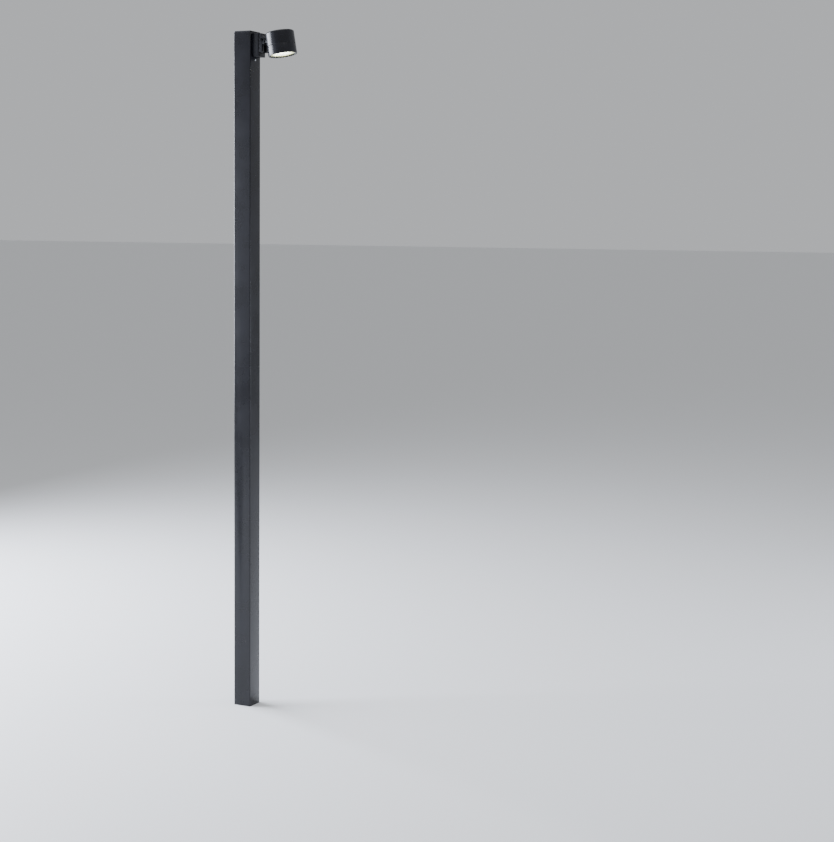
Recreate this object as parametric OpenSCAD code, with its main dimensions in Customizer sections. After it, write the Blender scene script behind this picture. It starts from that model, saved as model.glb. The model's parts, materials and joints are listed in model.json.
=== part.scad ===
// Street lamp post: a square tube on a hidden foot, with a small tilting spotlight
// on a box bracket near its top. Millimetres, +Z up.
// The origin is the middle of the post's foot on the ground, and +X points to the lamp head.

/* [Post] */
// Side of the square post
post_w = 70; // [60:1:90]
// Height of the post over its cap
post_h = 2500; // [1800:10:3500]
// Wall of the post tube
post_wall = 3.5; // [2.5:0.5:5]
// Radius of the post's four long edges
post_edge_r = 3; // [1.5:0.5:4]
// Thickness of the cap's visible plate
cap_t = 4; // [3:0.5:8]
// Thickness of the seal between cap and tube
cap_gasket_t = 1; // [0.5:0.5:2]
// Depth of the cap's plug inside the tube
cap_plug_h = 16; // [12:1:30]
// Thickness of the seal under the tube
base_seal_t = 2; // [1:0.5:4]

/* [Foot] */
// Thickness of the foot's bottom plate
foot_plate_t = 12; // [8:1:20]
// Height of the socket that the tube slides over
foot_h = 180; // [120:10:260]
// Wall of that socket
foot_wall = 6; // [4:0.5:7]
// Distance between anchor holes
anchor_spacing = 32; // [24:1:34]
// Radius of an anchor hole, for M8 studs
anchor_hole_r = 4.5; // [3.5:0.5:5]
// Radius of the opening for the ground cable
ground_cable_r = 9; // [6:0.5:10]
// Radius of the weep hole that drains the foot
weep_r = 2; // [1.5:0.5:4]
// Distance from the ground to the lower foot screws
foot_screw_z = 60; // [40:5:80]
// Distance between the two rows of foot screws
foot_screw_pitch = 80; // [50:5:100]

/* [Service door] */
// Height of the door's lower edge above the ground
door_z = 500; // [300:10:900]
// Width of the door opening
door_w = 44; // [40:1:46]
// Height of the door opening
door_h = 300; // [290:5:420]
// Corner radius of the door opening
door_r = 6; // [3:1:8]
// Gap all round the door
door_gap = 0.8; // [0.4:0.1:1.5]
// Thickness of the door plate
door_t = 2.5; // [2:0.5:3]
// Width of the rebate that the door seals on
door_rebate = 5; // [4:0.5:6]
// Depth of the frame's upper and lower bars, which take the door screws
door_bar = 24; // [20:1:30]

/* [Gear] */
// Distance from the post's middle to the front of the gear tray
tray_x = 20; // [18:0.5:21]
// Thickness of the tray
tray_t = 2; // [1.5:0.5:3]
// Width of the tray
tray_w = 42; // [40:1:44]
// Width of the joint box
joint_w = 32; // [30:1:34]
// Depth of the joint box without its lid
joint_d = 26; // [24:1:28]
// Height of the joint box
joint_h = 90; // [84:1:100]
// Wall of the joint box
joint_wall = 2.5; // [2:0.5:3]
// Width of the lamp driver
driver_w = 30; // [24:1:31]
// Height of the lamp driver
driver_h = 122; // [90:1:130]
// Radius of the power cable
cable_r = 4; // [3:0.25:4.5]

/* [Bracket box] */
// Width of the box
box_w = 46; // [40:1:56]
// Height of the box
box_h = 84.5; // [80:0.5:110]
// Distance from the post's face to the box's front
box_d = 27.5; // [26:0.5:40]
// Distance from the post's top to the box's top
box_drop = 8; // [5:0.5:40]
// Side walls of the box
box_wall = 3; // [2:0.5:4]
// Front wall of the box
box_front_t = 4; // [3.5:0.5:6]
// Seal between the box and the post
box_gasket_t = 1.2; // [0.8:0.2:2]
// Distance from the box's top to the cable's way in
box_cable_drop = 54; // [53:1:55]

/* [Knuckle] */
// Width of the knuckle block
block_w = 43; // [38:1:46]
// Height of the knuckle block
block_h = 67; // [64:1:80]
// Distance from the box's front to the block's front
block_d = 14; // [13.5:0.5:18]
// Distance from the box's top to the block's top
block_drop = 2; // [0:0.5:6]
// Distance from the block's top to the swivel axis
swivel_drop = 33.5; // [32:0.5:36]
// Running gap between the box and the block
swivel_gap = 1; // [0.8:0.1:2]
// Radius of the hollow swivel stud
stud_r = 7; // [6:0.5:8]
// Radius of the stud's cable way
stud_bore_r = 3.5; // [3:0.25:4]
// Turn each way that the stop pin allows, in degrees
swivel_turn = 90; // [45:5:120]
// Thickness of the block behind the head's lug
web_t = 4.7; // [4.5:0.1:6]
// Radius of the lug's round end
lug_r = 8.5; // [8:0.1:9]
// Radius of the block's round nose about the tilt bolt
nose_r = 10.3; // [9.8:0.1:10.8]
// Width of the slot for the lug
slot_w = 18.8; // [17:0.2:20]
// Radius of the tilt bolt
tilt_bolt_r = 4; // [3:0.25:4.5]
// Distance from the block's top to the tilt bolt
tilt_drop = 23; // [22:0.5:25]

/* [Head] */
// Diameter of the lamp head
head_d = 104; // [90:1:130]
// Length of the lamp head
head_l = 83; // [80:1:110]
// Angle that the head leans outwards at rest, in degrees
head_tilt = 10; // [0:1:15]
// Distance from the head's top to the joint with its front ring
head_split = 47.7; // [47:0.1:52]
// Height of the joint line between housing and front ring
split_gap = 1.2; // [0.8:0.1:2]
// Radius of the head's top edge
head_edge_r = 5; // [2:0.5:6]
// Wall of the housing
head_wall = 4; // [3.5:0.5:5]
// Thickness of the housing's top
head_top_t = 5; // [4:0.5:7]
// Width of the rim round the front glass
rim_w = 4.4; // [4:0.2:6]
// Distance from the head's top to the tilt bolt, along the head
lug_drop = 16.1; // [15.5:0.1:17]
// Thickness of the front glass
glass_t = 4; // [3:0.5:5]

/* [Fits] */
// Radial clearance of a screw, pin or stud in its hole
fit = 0.05; // [0.02:0.01:0.08]
// Clearance between parts that slide together at assembly
slip = 0.2; // [0.1:0.05:0.4]
// Gap between flat faces that move on each other
run = 0.3; // [0.3:0.05:0.5]

/* [Hidden] */
$fn = 72;

// finishes
graphite = [0.15, 0.16, 0.175];
rubber = [0.06, 0.06, 0.065];
zinc = [0.62, 0.64, 0.66];
bare_alu = [0.78, 0.79, 0.8];
grey_abs = [0.55, 0.57, 0.58];

// post
post_face = post_w / 2;
inner_face = post_face - post_wall;
inner_w = 2 * inner_face;
inner_edge_r = 1;
tube_top = post_h - cap_t - cap_gasket_t;
cap_plug_wall = 4;
m5_r = 2.5;
m5_head_r = 4.5;
m5_head_h = 2.4;
m5_l = 12;
cap_screw_z = tube_top - cap_plug_h / 2;

// foot
foot_w = inner_w - 2 * slip;
m8_r = 4;
m8_head_r = 6.5;
m8_head_h = 3;
m8_l = post_wall + foot_wall + 2;

// door
door_bar_w = door_w + 2 * door_rebate;
frame_t = 3;
door_gasket_t = post_wall - door_t;
m6_r = 3;
m6_head_r = 5;
m6_head_h = 3;
door_screw_l = post_wall + frame_t + 2;
door_screw_zs = [door_z + door_bar / 2, door_z + door_h - door_bar / 2];
door_mid_z = door_z + door_h / 2;

// gear
m4_r = 2;
m4_head_r = 3.5;
m4_head_h = 2.2;
bracket_h = 14;
bracket_screw_y = tray_w / 2 - 6;
gland_nut_r = cable_r + 5.5;
gland_nut_h = 4;
gland_thread_r = cable_r + 3.9;
gland_dome_r = cable_r + 3.6;
gland_dome_h = 11;
gland_in = 7;
gland_l = gland_nut_h + gland_dome_h;
tray_z0 = door_z + 8;
joint_z0 = tray_z0 + 22;
joint_z1 = joint_z0 + joint_h;
link_gap = 16;
driver_z0 = joint_z1 + 2 * gland_l + link_gap;
driver_z1 = driver_z0 + driver_h;
tray_z1 = driver_z1 + 22;
bracket_zs = [tray_z0 + bracket_h / 2 + 1, tray_z1 - bracket_h / 2 - 1];
driver_d = 24;
cable_x = tray_x - driver_d / 2;
joint_lid_t = 3;
joint_front = tray_x - joint_d;
joint_screw_zs = [joint_z0 + 12, joint_z1 - 12];
strap_t = 1.2;
strap_h = 12;
strap_zs = [driver_z0 + 24, driver_z1 - 24];

// bracket box
box_back = post_face + box_gasket_t;
box_front = post_face + box_d;
box_top = post_h - box_drop;
box_mid = box_top - box_h / 2;
box_inside = box_front - box_front_t;
box_r = 2;
back_plate_t = 2.5;
back_plate_x = box_back + back_plate_t;
rivet_r = m6_r + 1.5;
rivet_flange_r = rivet_r + 2.5;
rivet_flange_t = 2;
rivet_l = 14;
back_screw_zs = [tube_top - cap_plug_h - rivet_flange_r - 3, box_top - box_h + 12.5];
tab_t = 4;
tab_l = 10;
tab_w = 14;
tab_x = back_plate_x + tab_l / 2;
box_screw_l = box_wall + tab_t;
cable_z = box_top - box_cable_drop;
bend_r = 22;
riser_end = back_plate_x + slip;
grommet_r = cable_r + 4;
grommet_lip = 2;
clamp_z = box_top - box_h - 8.5;
clamp_h = 12;
clamp_w = 14;
connector = [12, 16, 18];

// knuckle
block_back = box_front + swivel_gap;
block_front = box_front + block_d;
block_top = box_top - block_drop;
swivel_z = block_top - swivel_drop;
web_front = block_back + web_t;
lug_clear = 0.6;
pivot_x = web_front + lug_clear + lug_r;
pivot_z = block_top - tilt_drop;
flare_h = 15.3;
flare_a = acos(nose_r / flare_h);
slot_roof = nose_r + 1.5;
washer_t = 0.94;
lug_w = slot_w - 2 * washer_t - 2 * run;
stud_head_r = stud_r + 2;
stud_head_t = 2.5;
stud_end = box_inside - 9;
stud_washer_t = 1;
nut_t = 6;
nut_r = stud_r + 4;
stop_r = stud_r + 8;
stop_pin_r = 1.5;
stop_depth = 2;
seal_groove = 2;
seal_r = stud_r + 4.5;
bolt_head_r = tilt_bolt_r + 2.8;
bolt_head_h = 4.5;
bolt_recess = 5;
lead_r = 3;
lead_end = web_front + 2.3;

// head, in its own frame: origin at its middle, +Z along its axis
head_r = head_d / 2;
head_top = head_l / 2;
head_bore_r = head_r - head_wall;
wall_gap = nose_r + 0.54;
lug_x = -(head_r + wall_gap);
lug_z = head_top - lug_drop;
lug_foot = 10.5;
lug_sweep = norm([wall_gap + 2, lug_foot]);
split_z = head_top - head_split;
ring_top = split_z - split_gap;
collar_r = head_r - 2;
collar_h = 8;
collar_z = ring_top + collar_h;
ring_bore_r = head_r - rim_w;
lip_t = 2.1;
lip_r = ring_bore_r - 1.4;
stack_r = ring_bore_r - slip;
lip_z = -head_top + lip_t;
seal_t = 0.5;
glass_z = lip_z + seal_t;
gasket_z = glass_z + glass_t;
gasket_t = 1;
diffuser_z = gasket_z + gasket_t;
diffuser_t = 2;
flange_z = diffuser_z + diffuser_t;
flange_t = 1.2;
retainer_z = flange_z + flange_t;
retainer_h = 3.7;
retainer_w = 3.2;
roof_z = head_top - head_top_t;
sink_r = head_bore_r - 5;
sink_z = split_z + 12.2;
sink_t = 6;
fin_t = 1.6;
fin_pitch = 9;
fin_count = 9;
sink_screw_r = 34;
sink_screw_l = roof_z - sink_z + 3.5;
board_r = 20;
board_t = 1.6;
board_z = sink_z - board_t;
cob_side = 19;
cob_t = 1;
holder_r = 22;
holder_bore_r = 9;
holder_t = 4;
holder_z = board_z - holder_t;
reflector_t = 1.2;
mouth_r = stack_r - 4;
lug_screw_zs = [lug_z - 6, lug_z + 6];
lug_screw_l = head_wall + 6;
gland_z = split_z + 15.2;
head_gland_r = lead_r + 1.5;
head_gland_nut_r = head_gland_r + 1;
head_gland_l = 9;
vent_z = split_z + 18;
vent_turn = 40;
vent_r = 3;
vent_head_r = 6;
vent_head_h = 2.5;

// ---- helpers ----

// a box from its lowest to its highest corner
module slab(low, high) {
    translate(low) cube(high - low);
}

// a centred rounded rectangle
module round_rect(w, h, r) {
    square([w - 2 * r, h], center = true);
    square([w, h - 2 * r], center = true);
    for (x = [-1, 1], y = [-1, 1])
        translate([x * (w / 2 - r), y * (h / 2 - r)]) circle(r);
}

// turn +Z to point along one of the main directions
module to_px() { rotate([0, 90, 0]) children(); }
module to_nx() { rotate([0, -90, 0]) children(); }
module to_py() { rotate([-90, 0, 0]) children(); }
module to_ny() { rotate([90, 0, 0]) children(); }

// a rod along +Z from a point
module rod_x(x0, x1, y, z, r) {
    translate([x0, y, z]) to_px() cylinder(r = r, h = x1 - x0);
}

// a rounded plate that faces +X: its outline lies in Y and Z
module plate_x(x0, x1, z, w, h, r) {
    translate([x0, 0, z]) to_px() linear_extrude(x1 - x0) round_rect(h, w, r);
}

// a prism of the given width across Y: its outline lies in X and Z
module prism_y(w) {
    translate([0, w / 2, 0]) to_ny() linear_extrude(w) children();
}

// a tube along +Z
module ring(r_out, r_in, z, h) {
    translate([0, 0, z]) difference() {
        cylinder(r = r_out, h = h);
        translate([0, 0, -1]) cylinder(r = r_in, h = h + 2);
    }
}

// a screw whose head sits on z = 0 and whose shank goes down
module button_screw(shank_r, head_r, head_h, length) {
    difference() {
        union() {
            cylinder(r = head_r, h = head_h * 0.4);
            translate([0, 0, head_h * 0.4]) cylinder(r1 = head_r, r2 = head_r * 0.72, h = head_h * 0.6);
            translate([0, 0, -length]) cylinder(r = shank_r, h = length);
        }
        translate([0, 0, head_h * 0.3]) cylinder(r = shank_r * 0.7, h = head_h, $fn = 6);
    }
}

// a cable gland whose flange sits on z = 0, with its thread going down
module gland(thread_r, nut_r, nut_h, dome_r, length, depth, bore_r) {
    difference() {
        union() {
            translate([0, 0, -depth]) cylinder(r = thread_r, h = depth);
            cylinder(r = nut_r, h = nut_h, $fn = 12);
            translate([0, 0, nut_h]) cylinder(r = dome_r, h = (length - nut_h) * 0.6);
            translate([0, 0, nut_h + (length - nut_h) * 0.6])
                cylinder(r1 = dome_r, r2 = dome_r * 0.8, h = (length - nut_h) * 0.4);
        }
        translate([0, 0, -depth - 1]) cylinder(r = bore_r, h = depth + length + 2);
    }
}

// places where the same thing repeats
module at_anchor_holes() {
    for (x = [-1, 1], y = [-1, 1])
        translate([x * anchor_spacing / 2, y * anchor_spacing / 2, 0]) children();
}

module at_foot_screws() {
    for (z = [foot_screw_z, foot_screw_z + foot_screw_pitch]) {
        translate([-post_face, 0, z]) to_nx() children();
        translate([0, post_face, z]) to_py() children();
    }
}

module at_cap_screws() {
    translate([-post_face, 0, cap_screw_z]) to_nx() children();
    translate([0, post_face, cap_screw_z]) to_py() children();
}

module at_door_screws() {
    for (z = door_screw_zs) translate([-post_face, 0, z]) to_nx() children();
}

module at_tray_screws() {
    for (z = bracket_zs, side = [-1, 1])
        translate([tray_x, side * bracket_screw_y, z]) to_nx() children();
}

module at_joint_screws() {
    for (z = joint_screw_zs) translate([tray_x - joint_wall, 0, z]) to_nx() children();
}

module at_back_screws() {
    for (z = back_screw_zs) translate([back_plate_x, 0, z]) to_px() children();
}

module at_box_screws() {
    translate([tab_x, 0, box_top]) children();
    translate([tab_x, 0, box_top - box_h]) rotate([180, 0, 0]) children();
}

module at_glands() {
    translate([cable_x, 0, joint_z1]) children();
    translate([cable_x, 0, joint_z0]) rotate([180, 0, 0]) children();
    translate([cable_x, 0, driver_z1]) children();
    translate([cable_x, 0, driver_z0]) rotate([180, 0, 0]) children();
}

// the head's frame, set to its place on the tilt bolt
module in_head() {
    translate([pivot_x, 0, pivot_z]) rotate([0, -head_tilt, 0])
        translate([-lug_x, 0, -lug_z]) children();
}

module at_lug_screws() {
    seat = sqrt(pow(head_bore_r, 2) - pow(m4_head_r, 2));
    for (z = lug_screw_zs) translate([-seat, 0, z]) to_px() children();
}

module at_sink_screws() {
    for (a = [90, 210, 330])
        rotate([0, 0, a]) translate([sink_screw_r, 0, sink_z]) rotate([180, 0, 0]) children();
}

module at_vent() {
    rotate([0, 0, vent_turn]) translate([-head_r, 0, vent_z]) to_nx() children();
}

// ---- post and foot ----

// it drains the foot just above its bottom plate, through foot and tube
module weep_hole() {
    translate([0, 0, foot_plate_t + weep_r]) to_ny() cylinder(r = weep_r, h = post_face + 1);
}

module anchor_foot() {
    color(zinc) difference() {
        linear_extrude(foot_h) round_rect(foot_w, foot_w, 2);
        translate([0, 0, foot_plate_t])
            linear_extrude(foot_h) round_rect(foot_w - 2 * foot_wall, foot_w - 2 * foot_wall, 1);
        translate([0, 0, -1]) cylinder(r = ground_cable_r, h = foot_plate_t + 2);
        at_anchor_holes() translate([0, 0, -1]) cylinder(r = anchor_hole_r, h = foot_plate_t + 2);
        at_foot_screws() translate([0, 0, -m8_l - 1]) cylinder(r = m8_r + fit, h = m8_l + 2);
        weep_hole();
    }
}

module base_seal() {
    color(rubber) difference() {
        linear_extrude(base_seal_t) round_rect(post_w, post_w, post_edge_r);
        translate([0, 0, -1]) linear_extrude(base_seal_t + 2)
            round_rect(foot_w + 2 * slip, foot_w + 2 * slip, inner_edge_r);
    }
}

module foot_screws() {
    color(graphite) at_foot_screws() button_screw(m8_r, m8_head_r, m8_head_h, m8_l);
}

module post_tube() {
    color(graphite) difference() {
        translate([0, 0, base_seal_t]) linear_extrude(tube_top - base_seal_t)
            round_rect(post_w, post_w, post_edge_r);
        linear_extrude(post_h) round_rect(inner_w, inner_w, inner_edge_r);
        plate_x(-post_face - 1, -inner_face + 1, door_mid_z, door_w, door_h, door_r);
        at_foot_screws() translate([0, 0, -post_wall - 1]) cylinder(r = m8_r + fit, h = post_wall + 2);
        at_cap_screws() translate([0, 0, -post_wall - 1]) cylinder(r = m5_r + fit, h = post_wall + 2);
        rod_x(inner_face - 1, post_face + 1, 0, cable_z, grommet_r + fit);
        rod_x(inner_face - 1, post_face + 1, 0, clamp_z, m5_r + fit);
        for (z = back_screw_zs) rod_x(inner_face - 1, post_face + 1, 0, z, rivet_r + fit);
        weep_hole();
    }
}

module cap_gasket() {
    color(rubber) translate([0, 0, tube_top]) difference() {
        linear_extrude(cap_gasket_t) round_rect(post_w - 1, post_w - 1, post_edge_r);
        translate([0, 0, -1]) linear_extrude(cap_gasket_t + 2)
            round_rect(inner_w, inner_w, inner_edge_r);
    }
}

module top_cap() {
    plug_w = inner_w - 2 * slip;
    color(graphite) difference() {
        union() {
            translate([0, 0, post_h - cap_t]) linear_extrude(cap_t)
                round_rect(post_w, post_w, post_edge_r);
            translate([0, 0, tube_top - cap_plug_h])
                linear_extrude(cap_plug_h + cap_gasket_t) round_rect(plug_w, plug_w, inner_edge_r);
        }
        translate([0, 0, tube_top - cap_plug_h - 1]) linear_extrude(cap_plug_h + cap_gasket_t + 1)
            round_rect(plug_w - 2 * cap_plug_wall, plug_w - 2 * cap_plug_wall, inner_edge_r);
        at_cap_screws() translate([0, 0, -m5_l - 1]) cylinder(r = m5_r + fit, h = m5_l + 2);
    }
}

module m5_screws() {
    color(zinc) {
        at_cap_screws() button_screw(m5_r, m5_head_r, m5_head_h, m5_l);
        translate([post_face, 0, clamp_z]) to_px() button_screw(m5_r, m5_head_r, m5_head_h, m5_l);
    }
}

// ---- service door ----

module door_frame() {
    color(graphite) difference() {
        plate_x(-inner_face, -inner_face + frame_t, door_mid_z, door_bar_w, door_h + 2 * door_rebate, 3);
        plate_x(-inner_face - 1, -inner_face + frame_t + 1, door_mid_z,
            door_w - 2 * door_rebate, door_h - 2 * door_bar, 3);
        at_door_screws() translate([0, 0, -door_screw_l - 1])
            cylinder(r = m6_r + 2 * fit, h = door_screw_l + 2);
    }
}

module service_door() {
    color(graphite) difference() {
        plate_x(-post_face, -post_face + door_t, door_mid_z,
            door_w - 2 * door_gap, door_h - 2 * door_gap, door_r - door_gap);
        at_door_screws() translate([0, 0, -door_t - 1]) cylinder(r = m6_r + fit, h = door_t + 2);
    }
}

module door_gasket() {
    gasket_x = -post_face + door_t;
    color(rubber) difference() {
        plate_x(gasket_x, gasket_x + door_gasket_t - 0.1, door_mid_z,
            door_w - 2 * door_gap - 1, door_h - 2 * door_gap - 1, door_r - door_gap - 0.5);
        plate_x(gasket_x - 1, gasket_x + door_gasket_t + 1, door_mid_z,
            door_w - 2 * door_rebate + 2, door_h - 2 * door_bar, 3);
        at_door_screws() translate([0, 0, -post_wall - 1]) cylinder(r = m6_r + fit, h = post_wall + 2);
    }
}

module door_screws() {
    color(zinc) at_door_screws() button_screw(m6_r, m6_head_r, m6_head_h, door_screw_l);
}

// ---- gear inside the post ----

module tray_brackets() {
    color(zinc) difference() {
        for (z = bracket_zs)
            slab([tray_x + tray_t, -tray_w / 2 + 1, z - bracket_h / 2],
                [inner_face, tray_w / 2 - 1, z + bracket_h / 2]);
        at_tray_screws() translate([0, 0, -m4_head_h - 8]) cylinder(r = m4_r + fit, h = 12);
    }
}

module gear_tray() {
    color(zinc) difference() {
        slab([tray_x, -tray_w / 2, tray_z0], [tray_x + tray_t, tray_w / 2, tray_z1]);
        at_tray_screws() translate([0, 0, -tray_t - 1]) cylinder(r = m4_r + fit, h = tray_t + 2);
        for (z = joint_screw_zs) rod_x(tray_x - 1, tray_x + tray_t + 1, 0, z, m4_r + fit);
        earth_place() translate([0, 0, -tray_t - 1]) cylinder(r = m6_r + fit, h = tray_t + 2);
    }
}

module m4_screws() {
    color(zinc) {
        at_tray_screws() button_screw(m4_r, m4_head_r, m4_head_h, 8);
        at_joint_screws() button_screw(m4_r, m4_head_r, m4_head_h, 8);
    }
}

module terminal_box() {
    half = joint_w / 2;
    color(grey_abs) difference() {
        slab([joint_front, -half, joint_z0], [tray_x, half, joint_z1]);
        slab([joint_front - 1, -half + joint_wall, joint_z0 + joint_wall],
            [tray_x - joint_wall, half - joint_wall, joint_z1 - joint_wall]);
        translate([cable_x, 0, joint_z0 - 1]) cylinder(r = gland_thread_r + fit, h = joint_h + 2);
        at_joint_screws() translate([0, 0, -joint_wall - 1]) cylinder(r = m4_r + fit, h = joint_wall + 2);
    }
}

module terminal_box_lid() {
    half = joint_w / 2;
    lip = joint_wall + slip;
    color(grey_abs) {
        slab([joint_front - joint_lid_t, -half, joint_z0], [joint_front, half, joint_z1]);
        difference() {
            slab([joint_front, -half + lip, joint_z0 + lip],
                [joint_front + 2, half - lip, joint_z1 - lip]);
            slab([joint_front - 1, -half + lip + 1.5, joint_z0 + lip + 1.5],
                [joint_front + 3, half - lip - 1.5, joint_z1 - lip - 1.5]);
        }
    }
}

module terminal_block() {
    back = tray_x - joint_wall;
    z0 = joint_z0 + 20;
    color("ivory") difference() {
        slab([back - 11, -13, z0], [back, 13, z0 + 24]);
        for (y = [-8, 0, 8]) {
            translate([back - 12, y, z0 + 6]) to_px() cylinder(r = 2, h = 7);
            translate([back - 12, y, z0 + 18]) to_px() cylinder(r = 2, h = 7);
        }
    }
}

module fuse_carrier() {
    back = tray_x - joint_wall;
    z = joint_z0 + 57;
    color("darkslategray") {
        slab([back - 5, -12, z - 8], [back, 12, z + 8]);
        translate([back - 8, -12, z]) to_py() cylinder(r = 5, h = 24);
    }
}

module cable_glands() {
    color(rubber) at_glands()
        gland(gland_thread_r, gland_nut_r, gland_nut_h, gland_dome_r, gland_l, gland_in, cable_r + fit);
}

module power_cables() {
    straight_end = cable_z - bend_r;
    bend_x = cable_x + bend_r;
    color(rubber) {
        translate([cable_x, 0, joint_z1 - gland_in])
            cylinder(r = cable_r, h = driver_z0 - joint_z1 + 2 * gland_in);
        translate([cable_x, 0, driver_z1 - gland_in])
            cylinder(r = cable_r, h = straight_end - driver_z1 + gland_in);
        translate([bend_x, 0, straight_end]) rotate([90, 0, 0]) rotate([0, 0, 90])
            rotate_extrude(angle = 90) translate([bend_r, 0]) circle(cable_r);
        rod_x(bend_x, riser_end, 0, cable_z, cable_r);
    }
}

module led_driver() {
    half = driver_w / 2;
    front = tray_x - driver_d;
    color(grey_abs) difference() {
        slab([front, -half, driver_z0], [tray_x, half, driver_z1]);
        for (z = [driver_z0 - 1, driver_z1 - gland_in - 0.5])
            translate([cable_x, 0, z]) cylinder(r = gland_thread_r + fit, h = gland_in + 1.5);
        for (z = [driver_z0 + 40 : 10 : driver_z1 - 40])
            slab([front - 1, -half + 4, z], [front + 1, half - 4, z + 4]);
    }
}

module driver_straps() {
    half = driver_w / 2;
    front = tray_x - driver_d;
    color(zinc) for (z = strap_zs) difference() {
        union() {
            slab([front - strap_t, -half - strap_t, z - strap_h / 2],
                [tray_x, half + strap_t, z + strap_h / 2]);
            slab([tray_x - strap_t, -tray_w / 2, z - strap_h / 2],
                [tray_x, tray_w / 2, z + strap_h / 2]);
        }
        slab([front, -half, z - strap_h], [tray_x + 1, half, z + strap_h]);
    }
}

module earth_place() {
    translate([tray_x, -tray_w / 2 + 8, joint_z1 + gland_l + link_gap / 2]) to_nx() children();
}

module earth_stud() {
    color("goldenrod") earth_place() {
        translate([0, 0, -tray_t - 2]) cylinder(r = m6_r, h = 16);
        cylinder(r = 6, h = 1.2);
        translate([0, 0, 1.2]) cylinder(r = 5.8, h = 5, $fn = 6);
    }
}

// ---- cable way into the bracket box ----

module riser_clamp() {
    color(grey_abs) difference() {
        slab([cable_x - cable_r - 3, -clamp_w / 2, clamp_z - clamp_h / 2],
            [inner_face, clamp_w / 2, clamp_z + clamp_h / 2]);
        translate([cable_x, 0, clamp_z - clamp_h]) cylinder(r = cable_r + fit, h = 2 * clamp_h);
        rod_x(post_face - m5_l - 1, post_face, 0, clamp_z, m5_r + fit);
    }
}

module riser_grommet() {
    color(rubber) difference() {
        union() {
            rod_x(inner_face - grommet_lip, post_face, 0, cable_z, grommet_r);
            rod_x(inner_face - grommet_lip, inner_face, 0, cable_z, grommet_r + 2);
        }
        rod_x(inner_face - grommet_lip - 1, post_face + 1, 0, cable_z, cable_r + fit);
    }
}

module rivet_nuts() {
    color(zinc) for (z = back_screw_zs) difference() {
        union() {
            rod_x(post_face - rivet_l, post_face, 0, z, rivet_r);
            rod_x(inner_face - rivet_flange_t, inner_face, 0, z, rivet_flange_r);
        }
        rod_x(post_face - rivet_l - 1, post_face + 1, 0, z, m6_r + fit);
    }
}

module box_gasket() {
    color(rubber) difference() {
        plate_x(post_face, box_back, box_mid, box_w - 1.6, box_h - 1.6, box_r - 0.8);
        rod_x(post_face - 1, box_back + 1, 0, cable_z, cable_r + 1);
        for (z = back_screw_zs) rod_x(post_face - 1, box_back + 1, 0, z, m6_r + fit);
    }
}

module box_back_plate() {
    plate_h = box_h - 2 * box_wall - 2 * slip;
    color(zinc) difference() {
        union() {
            plate_x(box_back, back_plate_x, box_mid, box_w - 2 * box_wall - 2 * slip, plate_h, 1);
            for (side = [-1, 1])
                translate([box_back, -tab_w / 2, box_mid + side * (plate_h / 2 - tab_t / 2) - tab_t / 2])
                    cube([back_plate_t + tab_l, tab_w, tab_t]);
        }
        rod_x(box_back - 1, back_plate_x + 1, 0, cable_z, cable_r + 1);
        at_back_screws() translate([0, 0, -back_plate_t - 1]) cylinder(r = m6_r + fit, h = 5);
        at_box_screws() translate([0, 0, -box_screw_l - 1]) cylinder(r = m4_r + fit, h = box_screw_l + 2);
    }
}

module box_plate_screws() {
    color(zinc) at_back_screws() button_screw(m6_r, m6_head_r, m6_head_h, 16);
}

module mounting_box() {
    sweep = 2 * swivel_turn + 2 * asin((stop_pin_r + fit) / stop_r);
    color(graphite) difference() {
        plate_x(box_back, box_front, box_mid, box_w, box_h, box_r);
        plate_x(box_back - 1, box_inside, box_mid, box_w - 2 * box_wall, box_h - 2 * box_wall, 1);
        rod_x(box_inside - 1, box_front + 1, 0, swivel_z, stud_r + fit);
        translate([box_front - stop_depth, 0, swivel_z]) to_px() rotate([0, 0, -sweep / 2])
            rotate_extrude(angle = sweep) translate([stop_r - stop_pin_r - 2 * fit, 0])
                square([2 * stop_pin_r + 4 * fit, stop_depth + 1]);
        at_box_screws() translate([0, 0, -box_wall - 1]) cylinder(r = m4_r + fit, h = box_wall + 2);
    }
}

module box_screws() {
    color(zinc) at_box_screws() difference() {
        translate([0, 0, -box_screw_l]) cylinder(r = m4_r, h = box_screw_l);
        translate([0, 0, -2]) cylinder(r = m4_r * 0.55, h = 3, $fn = 6);
    }
}

module box_connector() {
    color("ivory") translate([riser_end, -connector.y / 2, cable_z - connector.z / 2])
        difference() {
            cube(connector);
            for (y = [3, 8, 13]) translate([connector.x - 6, y, connector.z / 2])
                to_px() cylinder(r = 1.5, h = 7);
        }
}

// ---- knuckle ----

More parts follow.
